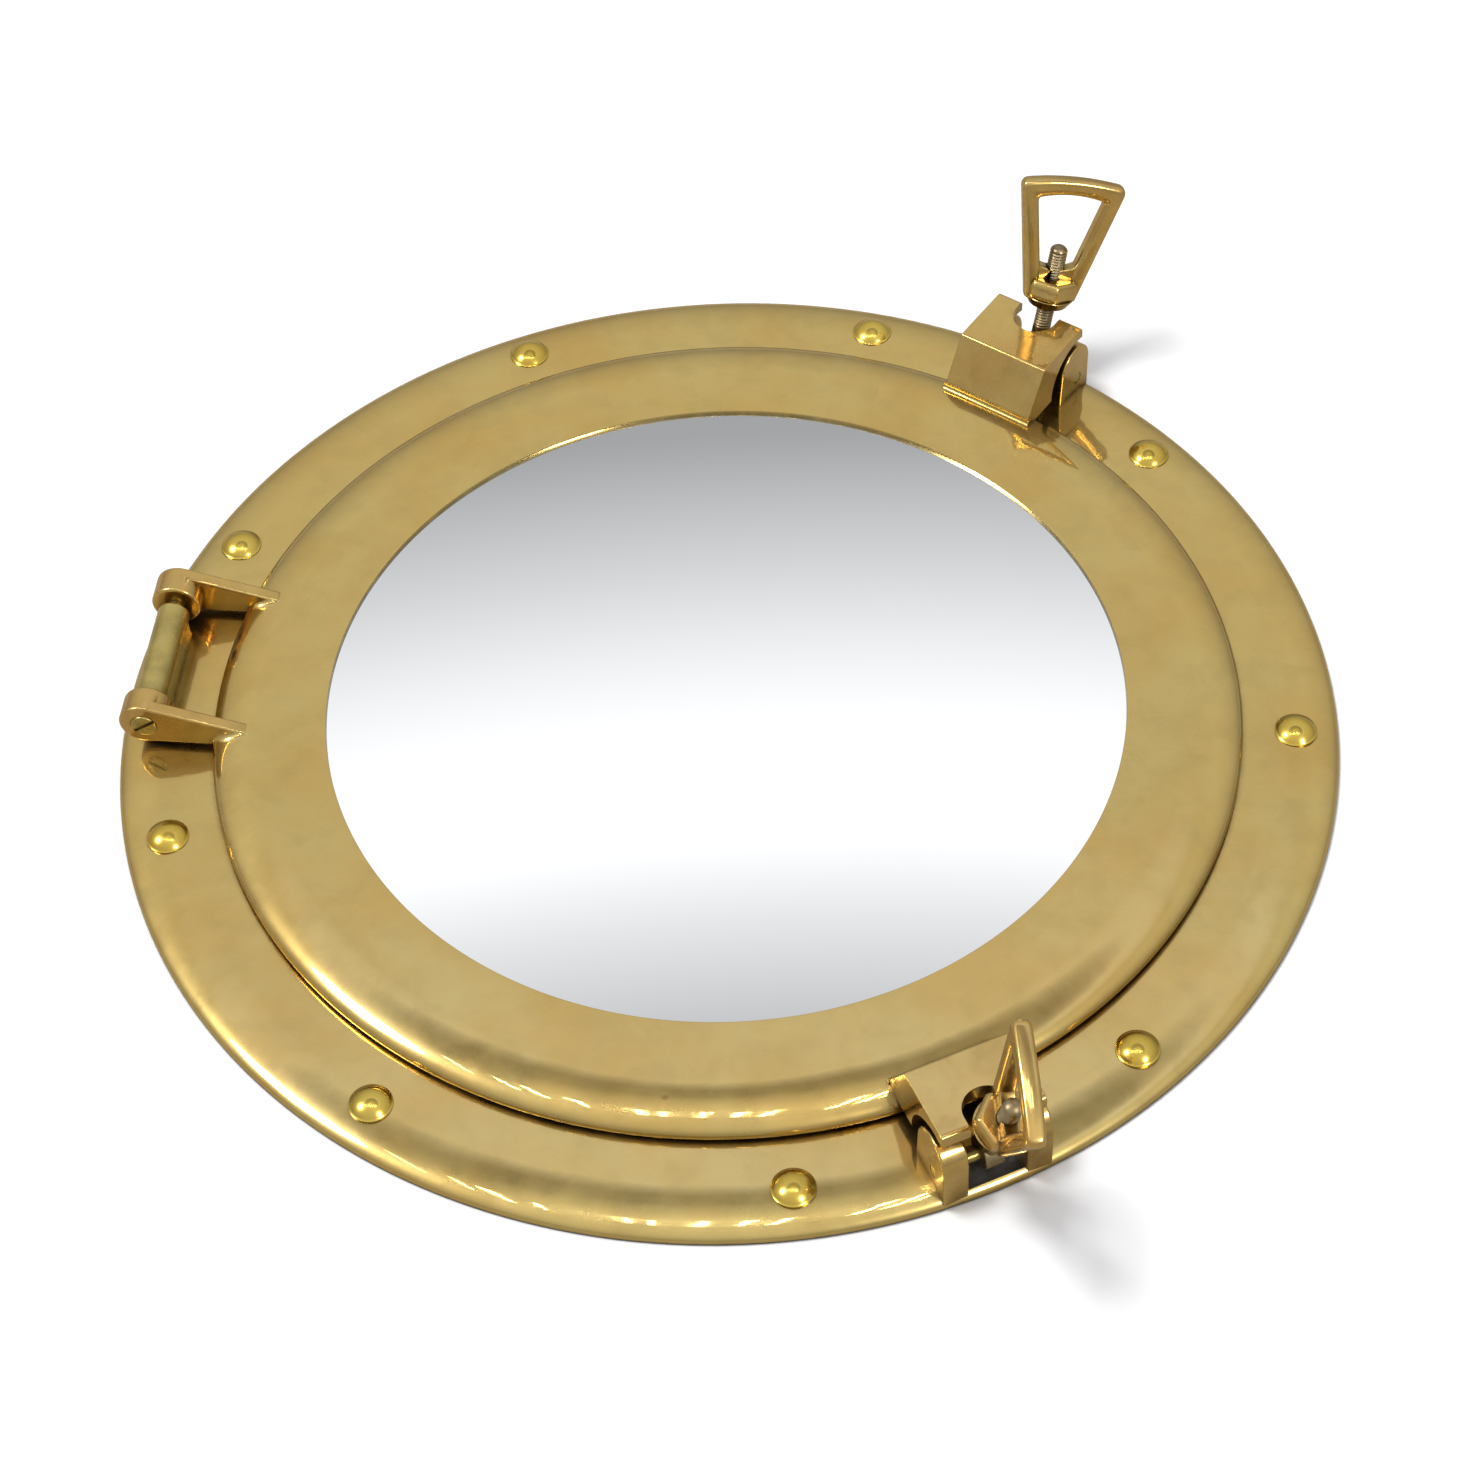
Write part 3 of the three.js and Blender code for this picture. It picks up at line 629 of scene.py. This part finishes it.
def door_ring():
    groove_in, groove_out, groove_top = GASKET_GROOVE
    rebate, seat, seat_top = RETAINER_SEAT
    hollow_in, hollow_out, hollow_top = DOOR_HOLLOW
    profile = [
        (SIGHT_R, GLASS_TOP), *((SIGHT_R + out, DOOR_TOP - down) for out, down in SIGHT_EDGE),
        *rolled_edge(DOOR_R, DOOR_ROLL, DOOR_TOP, DOOR_ROLL_FOOT),
        *((DOOR_R - back, DOOR_UNDERSIDE + up) for back, up in RIM_EDGE),
        (hollow_out, DOOR_UNDERSIDE), (hollow_out, hollow_top),
        (hollow_in, hollow_top), (hollow_in, DOOR_UNDERSIDE),
        (groove_out, DOOR_UNDERSIDE), (groove_out, groove_top),
        (groove_in, groove_top), (groove_in, DOOR_UNDERSIDE),
        (seat, DOOR_UNDERSIDE), (seat, seat_top), (rebate, seat_top), (rebate, GLASS_TOP),
    ]
    obj = turned("opening_ring", profile, matrix=place())
    smooth(obj, 35)
    dress(obj, POLISHED, "door", "polished_brass", "door_ring")


def ear_slope():
    """The slant of an ear's upper side, from its root up to the knuckle."""
    return math.atan2(HINGE_Z + KNUCKLE_R - DOOR_TOP, EAR_ROOT_X - HINGE_X)


def ear(index):
    web, boss = EARS[index]
    top = 90 - math.degrees(ear_slope())
    under = DOOR_UNDERSIDE + EAR_SINK
    outline = [(EAR_ROOT_X, under), (EAR_ROOT_X, DOOR_TOP - EAR_SINK),
               *arc(HINGE_X, HINGE_Z, KNUCKLE_R, top, EAR_WRAP, 36), (HINGE_X, under)]
    obj = prism(f"hinge_ear_{index + 1}", outline, *web, place())
    soften(obj, 0.75 * MM, 4)
    knuckle = rod("knuckle", KNUCKLE_R, *boss, HINGE_X, HINGE_Z, place())
    soften(knuckle, 0.8 * MM, 4, 60)
    join(obj, knuckle)
    cut(obj, bore(HINGE_PIN_R, *boss, HINGE_X, HINGE_Z, place()))
    if index == 0:
        seat = rod("seat", PIN_HEAD["radius"] + 0.12, web[0] - PAST, web[0] + PIN_HEAD["thick"],
                   HINGE_X, HINGE_Z, place(), 48)
        cut(obj, seat)
    smooth(obj, 38)
    dress(obj, FITTING, "door", "polished_brass", "door_ring")


def ear_fillet(index):
    """The bright fillet along an ear's foot, on its -Y side. It dies out at both ends."""
    side = EARS[index][0][0]
    low, high, widest = EAR_FILLET
    stations, steps, buried = 20, 8, 0.8
    rings = []
    for i in range(stations + 1):
        t = i / stations
        x = low + (high - low) * t
        width = widest * math.sin(math.pi * (0.02 + 0.96 * t)) ** 0.6
        stand = DOOR_TOP - EAR_SINK + (EAR_ROOT_X - x) * math.tan(ear_slope()) - ring_top(math.hypot(x, side))
        height = max(0.05, min(width, stand - 0.15))
        ring = []
        for k in range(steps + 1):
            out = k / steps
            y = side - width * out
            rise = height * (1 - math.sqrt(1 - (1 - out) ** 2))
            ring.append((x, y, ring_top(math.hypot(x, y)) - 0.03 + rise))
        below = ring_top(math.hypot(x, side)) - buried
        ring += [(x, side - width, below), (x, side + 0.6, below), (x, side + 0.6, ring[0][2])]
        rings.append(ring)
    obj = lofted(f"ear_fillet_{index + 1}", rings, place())
    smooth(obj, 50)
    dress(obj, POLISHED, "door", "polished_brass")


def hinge_pin():
    radius, thick, half = PIN_HEAD["radius"], PIN_HEAD["thick"], PIN_HEAD["slot"]
    low = EARS[0][0][0] - PIN_HEAD["proud"]
    head = rod("hinge_pin_slotted", radius, low, low + thick, HINGE_X, HINGE_Z, place())
    soften(head, 0.35 * MM, 3, 60)
    reach = 6  # past the head on both sides
    slot = prism("slot", [(-reach, -half), (reach, -half), (reach, half), (-reach, half)],
                 low - PAST, low + PIN_HEAD["deep"])
    slot.data.transform(place() @ Matrix.Translation((HINGE_X, 0, HINGE_Z))
                        @ Matrix.Rotation(math.radians(PIN_HEAD["turn"]), 4, "Y"))
    cut(head, slot)
    shank_end = EARS[1][0][1] - 0.3
    join(head, rod("shank", HINGE_PIN_R, low + 1, shank_end, HINGE_X, HINGE_Z, place(), BORE_ROUND))
    smooth(head)
    dress(head, DULL, "door", "dull_brass", "hinge_pin")


def rounded(points, radii, steps=6):
    """An outline whose corners are rounded, each by its own radius."""
    result = []
    for i, (corner, radius) in enumerate(zip(points, radii)):
        here = Vector(corner)
        before = (Vector(points[i - 1]) - here).normalized()
        after = (Vector(points[(i + 1) % len(points)]) - here).normalized()
        if radius == 0:
            result.append(corner)
            continue
        half = before.angle(after) / 2
        reach = radius / math.tan(half)
        centre = here + (before + after).normalized() * (radius / math.sin(half))
        start = here + before * reach - centre
        turn = math.pi - 2 * half
        if start.cross(here + after * reach - centre) < 0:
            turn = -turn
        for k in range(steps + 1):
            arm = start.copy()
            arm.rotate(Matrix.Rotation(turn * k / steps, 2))
            result.append(tuple(centre + arm))
    return result


def lug(letter):
    """The slotted lug that a dog's bolt stands in. A round hollow runs under its plate."""
    half, foot, crest, outer = LUG["half"], LUG["foot"], LUG["crest"], LUG["outer"]
    top, base = LUG["top"], LUG["base"]
    r, z, radius = LUG_HOLLOW
    at = place(dog_azimuth(letter))
    outline = rounded(
        [(foot, base), (outer, base), (outer, top), (crest, top), (foot, DOOR_TOP + LUG_TOE)], LUG_ROUNDS
    )
    obj = prism(f"slotted_lug_{letter}", outline, -half, half, at)
    soften(obj, 0.4 * MM, 3, 60)
    inner, slot_half = LUG_SLOT
    slot_end, slot_reach = 20, 30  # past the plate's outer edge, and right through it
    slot_outline = arc(0, 0, slot_half, 90, 270, 32) + [(slot_end, -slot_half), (slot_end, slot_half)]
    slot = prism("slot", slot_outline, -slot_reach, slot_reach)
    slot.data.transform(at @ Matrix.Translation((inner + slot_half, 0, 0))
                        @ Matrix.Rotation(math.radians(90), 4, "X"))
    mouth_end, mouth_drop = outer + 2, 1  # past the plate's edge, and its roof's fall towards it
    mouth = prism("mouth", [(r, base - PAST), (mouth_end, base - PAST),
                            (mouth_end, z + radius - mouth_drop), (r, z + radius)],
                  -half - PAST, half + PAST, at)
    hollow = rod("hollow", radius, -half - 2 * PAST, half + 2 * PAST, r, z, at, 96)
    cut(obj, hollow, mouth, slot)
    smooth(obj, 32)
    dress(obj, FITTING, "door", "polished_brass", f"door_lug_{letter}")


def braze(letter):
    """The fillet where a lug meets the ring's rounded top."""
    size, foot, half = BRAZE[letter], LUG["foot"], LUG["half"] + 0.3
    inside, below = BRAZE_BURIED
    level = ring_top(math.hypot(foot - size, half / 2)) - 0.12
    outline = [(foot + inside, level - below), (foot - size, level - below), (foot - size, level)]
    outline += arc(foot - size, level + size, size, -84, 18, 10)
    outline.append((foot + inside, level + size))
    obj = prism(f"braze_fillet_{letter}", outline, -half, half, place(dog_azimuth(letter)))
    soften(obj, 0.2 * MM, 2)
    smooth(obj, 50)
    dress(obj, POLISHED, "door", "polished_brass")


def mirror():
    profile = [(0, GLASS_BOTTOM), (GLASS_R, GLASS_BOTTOM), (GLASS_R, GLASS_TOP), (0, GLASS_TOP)]
    obj = turned("mirror_plate", profile, matrix=place())
    smooth(obj)
    dress(obj, MIRROR, "door", "mirror", "mirror_glass")


def carried_over():
    """CAD nodes that keep their own shape and only get a material."""
    for node, material in (
        ("glazing_seal", RUBBER), ("door_gasket", RUBBER), ("backing_pad", FELT),
        ("glass_retainer", DULL), *((f"retainer_screw_{i}", DULL) for i in range(1, 7)),
    ):
        obj = frame["nodes"][node]
        obj.data.materials.clear()
        obj.data.materials.append(material)


# ---------- dogs ----------


def dog_bolt(letter):
    """A screwed shank on an eye. The thread is one helix."""
    sides, shoulder = THREAD_SIDES, BOLT_TIP - BOLT_DOME
    pitch, depth, start = THREAD["pitch"], THREAD["depth"], THREAD["start"]
    angles = [2 * math.pi * k / sides for k in range(sides)]
    rows = int((BOLT_TIP - start) / pitch * THREAD_STEPS)
    rings = []
    for z in [BOLT_FOOT] + [start + (shoulder - start) * i / rows for i in range(rows + 1)]:
        ring = []
        for k, a in enumerate(angles):
            groove = abs(((z / pitch - k / sides) % 1) * 2 - 1)
            fade = min(1, max(0, (z - start) / THREAD["run_in"]))
            radius = BOLT_R - depth * fade * groove
            ring.append((radius * math.cos(a), radius * math.sin(a), z))
        rings.append(ring)
    dome_steps = 8
    for step in range(1, dome_steps):
        t = math.pi / 2 * step / dome_steps
        radius = BOLT_R * math.cos(t)
        z = shoulder + BOLT_DOME * math.sin(t)
        rings.append([(radius * math.cos(a), radius * math.sin(a), z) for a in angles])
    obj = lofted(f"swing_bolt_{letter}", rings, dog_place(letter))
    eye = rod("eye", EYE[0], -EYE[1], EYE[1], 0, 0, dog_place(letter))
    soften(eye, 0.5 * MM, 3, 60)
    join(obj, eye)
    cut(obj, rod("bore", PIVOT_PIN_R + PLAY, -4, 4, 0, 0, dog_place(letter), BORE_ROUND))
    smooth(obj, 45)
    dress(obj, BOLT_METAL, f"dog_{letter}", "bolt_metal", f"dog_bolt_{letter}")


def loop_side(z, inset):
    """Half the loop's width at height z, inset from its outline."""
    lean = (LOOP["top"] - LOOP["foot"]) / LOOP["height"]
    return LOOP["foot"] + lean * z - inset * math.hypot(1, lean)


def loop_outline(inset, corner):
    """Up one leg, round the corner, over the arched top and down the other leg."""
    shoulder = LOOP["height"] - LOOP["crown"] - inset
    half = loop_side(shoulder, inset)
    flat = half - corner

    def arch(x):
        return shoulder + LOOP["crown"] * (1 - (x / half) ** 2)

    start, top = LOOP["start"], shoulder - corner
    heights = [start + (top - start) * i / 7 for i in range(8)]
    right = [(loop_side(z, inset), z) for z in heights]
    for i in range(1, 8):
        t = i / 8
        right.append((
            (1 - t) ** 2 * right[7][0] + 2 * t * (1 - t) * half + t * t * flat,
            (1 - t) ** 2 * top + 2 * t * (1 - t) * (shoulder + 0.1) + t * t * arch(flat),
        ))
    right += [(flat * (1 - i / 10), arch(flat * (1 - i / 10))) for i in range(10)]
    return right + [(0, arch(0))] + [(-x, z) for x, z in reversed(right)]


def bar_between(name, outer, inner, thick, matrix, squareness=3.6, sides=32):
    """A softly squared bar that fills the space between two matched outlines."""
    rings = []
    for (x1, z1), (x2, z2) in zip(outer, inner):
        ring = []
        for k in range(sides):
            a = 2 * math.pi * k / sides
            c, d = math.cos(a), math.sin(a)
            u = math.copysign(abs(c) ** (2 / squareness), c)
            v = math.copysign(abs(d) ** (2 / squareness), d) * thick / 2
            ring.append(((x1 + x2) / 2 + (x1 - x2) / 2 * u, v, (z1 + z2) / 2 + (z1 - z2) / 2 * u))
        rings.append(ring)
    return lofted(name, rings, matrix)


def saddle(matrix):
    """The web between the loop's legs. Its upper edge sinks in a half-ellipse."""
    low, rise, half = SADDLE["floor"], SADDLE["rise"], LOOP["thick"] / 2 - SADDLE["inset"]
    inner = loop_side(low + rise, LOOP["bar"] / 2)
    outline = [(-SADDLE["foot_half"], SADDLE["foot"]), (SADDLE["foot_half"], SADDLE["foot"]),
               (inner, low + rise)]
    for degrees in range(0, 181, 12):
        a = math.radians(degrees)
        outline.append((inner * SADDLE["span"] * math.cos(a), low + rise * SADDLE["dip"] * (1 - math.sin(a))))
    outline.append((-inner, low + rise))
    web = prism("saddle", outline, -half, half, matrix)
    soften(web, 0.5 * MM, 3, 50)
    return web


def loop_nut(letter):
    """A cone, a hexagon and a loop handle in one piece, with a saddle between the loop's legs."""
    at = dog_place(letter, NUT_SEAT, LOOP_TURN[letter])
    hexagon = turned(f"loop_nut_{letter}", [(0, NUT_HEXAGON[0][1]), *NUT_HEXAGON, (0, NUT_HEXAGON[-1][1])],
                     6, at @ Matrix.Rotation(math.radians(30), 4, "Z"))
    soften(hexagon, 0.75 * MM, 4, 20)
    cone = turned("cone", [(0, 0), *NUT_CONE, (0, NUT_CONE[-1][1])], SMALL_ROUND, at)
    soften(cone, 0.3 * MM, 3, 30)
    loop = bar_between("loop", loop_outline(0, LOOP["corner"]),
                       loop_outline(LOOP["bar"], LOOP["window_corner"]), LOOP["thick"], at)
    web = saddle(at)
    join(hexagon, cone, loop, web)
    radius, top = NUT_BORE
    cut(hexagon, turned("bore", [(0, -PAST), (radius, -PAST), (radius, top), (0, top)], 40, at))
    smooth(hexagon, 34)
    dress(hexagon, FITTING, f"nut_{letter}", "polished_brass", f"dog_loop_nut_{letter}")


# ---------- stage ----------


FLOOR_PALE = ((0.93, 0.93, 0.935, 1), (0.95, 0.95, 0.95, 1))
FLOOR_SHADE = (0.06, 0.05, 0.04, 1)  # in the narrow gap under the porthole's edge
FLOOR_IN_BRASS = (0.36, 0.34, 0.31, 1)


def floor():
    """Pale to the eye, dim in the metal's reflections, darker close under the porthole."""
    n = Nodes("pale_floor")
    shade = n.spread(n.noise(300, 2), 0.3, 0.7)
    colour = n.mix(shade, *FLOOR_PALE)
    colour = n.mix(n.spread(n.openness(16), 0.2, 0.64, 1.0, 0.0), colour, FLOOR_SHADE)
    glossy = n.add("ShaderNodeLightPath").outputs["Is Glossy Ray"]
    colour = n.mix(glossy, colour, FLOOR_IN_BRASS)
    matt = n.add("ShaderNodeBsdfDiffuse", {"Color": colour})
    bpy.ops.mesh.primitive_plane_add(size=12, location=(CENTRE.x, CENTRE.y, -0.0004))
    obj = bpy.context.object
    obj.name = "floor"
    obj.data.materials.append(n.finish(matt.outputs[0]))


MIRROR_SKY = (  # sine of the elevation, brightness: what the mirror shows
    (0.0, 0.5), (0.45, 0.42), (0.66, 0.36), (0.708, 0.40), (0.734, 0.71), (0.752, 0.95),
    (0.767, 1.12), (0.785, 1.12), (0.80, 0.86), (0.822, 0.55), (0.87, 0.46), (1.0, 0.4),
)
BACK_SKY = (  # what the brass reflects from beyond the porthole
    (0.0, 0.28), (0.4, 0.52), (0.62, 0.62), (0.70, 0.66), (0.77, 0.61), (0.82, 0.77), (0.855, 0.82),
    (0.885, 0.5), (0.915, 0.26), (0.95, 0.30), (0.975, 0.56), (1.0, 0.7),
)
FRONT_SKY = (  # and from the viewer's side
    (0.0, 0.3), (0.3, 0.45), (0.6, 0.6), (0.85, 0.7), (0.95, 0.7), (1.0, 0.3),
)
COOL_SKY = (0.80, 0.90)  # the sines between which the far sky turns a cool white
DEEP_TINT = (0.5, 0.56, 0.8, 1)  # dims and cools what reaches the brass by two or more reflections
DEEP_FROM = 2.5  # in ray depth: the sky counts the first reflection as 2
SKY_SEAM = (-0.28, 0.02)  # Y of the direction: the front sky up to the first, the back sky from the second
DIFFUSE_SKY = (0.74, 0.74, 0.75, 1)


def sky_ramp(tree, height, stops):
    ramp = tree.nodes.new("ShaderNodeValToRGB")
    tree.links.new(height, ramp.inputs[0])
    elements = ramp.color_ramp.elements
    low, high = COOL_SKY
    elements[0].position, elements[1].position = stops[0][0], stops[-1][0]
    for position, _ in stops[1:-1]:
        elements.new(position)
    for element, (position, value) in zip(elements, stops):
        cool = 1.0 if stops is BACK_SKY and low < position < high else 0.0
        element.color = (value, value * (1 + 0.05 * cool), value * (1.01 + 0.3 * cool), 1)
    return ramp.outputs[0]


def studio_sky():
    """The room: one shading for the mirror, one for the brass, plain white for the floor."""
    world = bpy.data.worlds.new("studio")
    SCENE.world = world
    world.use_nodes = True
    tree = world.node_tree
    tree.nodes.clear()

    def mixed(factor, a, b, blend="MIX"):
        node = tree.nodes.new("ShaderNodeMixRGB")
        node.blend_type = blend
        for socket, value in zip(node.inputs, (factor, a, b)):
            if isinstance(value, bpy.types.NodeSocket):
                tree.links.new(value, socket)
            else:
                socket.default_value = value
        return node.outputs[0]

    coordinates = tree.nodes.new("ShaderNodeTexCoord")
    split = tree.nodes.new("ShaderNodeSeparateXYZ")
    tree.links.new(coordinates.outputs["Generated"], split.inputs[0])
    front = tree.nodes.new("ShaderNodeMapRange")
    tree.links.new(split.outputs["Y"], front.inputs["Value"])
    front.inputs["From Min"].default_value, front.inputs["From Max"].default_value = SKY_SEAM
    front.inputs["To Min"].default_value = 1.0
    front.inputs["To Max"].default_value = 0.0
    path = tree.nodes.new("ShaderNodeLightPath")
    height = split.outputs["Z"]
    brass_sky = mixed(front.outputs["Result"], sky_ramp(tree, height, BACK_SKY),
                      sky_ramp(tree, height, FRONT_SKY))
    deep = tree.nodes.new("ShaderNodeMath")
    deep.operation = "GREATER_THAN"
    tree.links.new(path.outputs["Ray Depth"], deep.inputs[0])
    deep.inputs[1].default_value = DEEP_FROM
    brass_sky = mixed(deep.outputs[0], brass_sky, DEEP_TINT, "MULTIPLY")
    seen = mixed(path.outputs["Is Singular Ray"], brass_sky, sky_ramp(tree, height, MIRROR_SKY))
    seen = mixed(path.outputs["Is Diffuse Ray"], seen, DIFFUSE_SKY)
    seen = mixed(path.outputs["Is Camera Ray"], seen, (1, 1, 1, 1))
    background = tree.nodes.new("ShaderNodeBackground")
    output = tree.nodes.new("ShaderNodeOutputWorld")
    tree.links.new(seen, background.inputs[0])
    tree.links.new(background.outputs[0], output.inputs[0])


def area_light(name, location, target, size, power):
    """A round lamp: places and diameter in metres, power in watts."""
    data = bpy.data.lights.new(name, "AREA")
    data.shape = "DISK"
    data.size = size
    data.energy = power
    obj = bpy.data.objects.new(name, data)
    SCENE.collection.objects.link(obj)
    obj.location = location
    obj.rotation_euler = (Vector(target) - Vector(location)).to_track_quat("-Z", "Y").to_euler()
    return obj


LAMP_STEP = 0.08  # metres along X
LAMP_PLACES = range(-9, 8)
LAMP_GAPS = 0.15  # the share of places left empty
LAMP_BACK = -0.3
LAMP_HEIGHT = 1.35


def all_but_the_mirror():
    """What the ceiling lamps light: their hard shapes stay out of the flat glass."""
    receivers = bpy.data.collections.new("lamp_receivers")
    receivers.objects.link(bpy.data.objects["mirror_plate"])
    receivers.collection_objects[0].light_linking.link_state = "EXCLUDE"
    return receivers


def lamp_row():
    """Small ceiling lamps: they give the string of separate bright spots on the near rolls."""
    receivers = all_but_the_mirror()
    chance = random.Random(7)
    for i in LAMP_PLACES:
        if chance.random() < LAMP_GAPS:
            continue
        across = LAMP_STEP * i + 0.03 * chance.random()
        spot = CENTRE + Vector((across, LAMP_BACK + 0.08 * chance.random(), LAMP_HEIGHT))
        power = 0.11 + 0.1 * chance.random()
        width = 0.013 + 0.01 * chance.random()
        lamp = area_light(f"lamp_{i - LAMP_PLACES.start}", spot, CENTRE, width, power)
        lamp.data.shape = "RECTANGLE"
        lamp.data.size_y = 0.16 + 0.09 * chance.random()
        lamp.rotation_euler = (0, 0, 0)  # straight down
        lamp.visible_diffuse = False
        lamp.light_linking.receiver_collection = receivers


VIEW = {"azimuth": 8.2, "elevation": 49.82, "roll": -3.33, "distance": 0.8547}  # degrees, metres
LENS = {"sensor_width": 36, "lens": 83.92, "shift_x": 0.0013, "shift_y": -0.0047}


def camera():
    """The photograph's viewing angle: from the front, a little to the right, well above."""
    a, e = math.radians(VIEW["azimuth"]), math.radians(VIEW["elevation"])
    back = Vector((math.sin(a) * math.cos(e), -math.cos(a) * math.cos(e), math.sin(e)))
    data = bpy.data.cameras.new("camera")
    for key, value in LENS.items():
        setattr(data, key, value)
    obj = bpy.data.objects.new("camera", data)
    SCENE.collection.objects.link(obj)
    obj.location = CENTRE + back * VIEW["distance"]
    turn = (-back).to_track_quat("-Z", "Y")
    obj.rotation_mode = "QUATERNION"
    roll = Matrix.Rotation(math.radians(VIEW["roll"]), 3, "Z").to_quaternion()
    obj.rotation_quaternion = turn @ roll
    SCENE.camera = obj


# ---------- build ----------

flange()
hinge_barrel()
for one in "ab":
    post(one, 1)
    post(one, -1)
    pivot_pin(one)
for number in range(1, 10):
    rivet(number)

door_ring()
for number in (0, 1):
    ear(number)
    ear_fillet(number)
hinge_pin()
for one in "ab":
    lug(one)
    braze(one)
mirror()
carried_over()

for one in "ab":
    dog_bolt(one)
    loop_nut(one)

floor()
studio_sky()
AIM = (0.1, 0, 0)
key = area_light("key", (-1.5, -0.35, 1.7), AIM, 0.8, 22)
key.visible_diffuse = False
window = area_light("window", (1.3, -1.1, 1.2), AIM, 0.5, 10)
window.visible_diffuse = False
floor_light = area_light("floor_light", (-0.45, 0.05, 1.8), AIM, 0.5, 20)
floor_light.visible_glossy = False
lamp_row()
camera()

SCENE.view_settings.view_transform = "Standard"
SCENE.view_settings.look = "None"
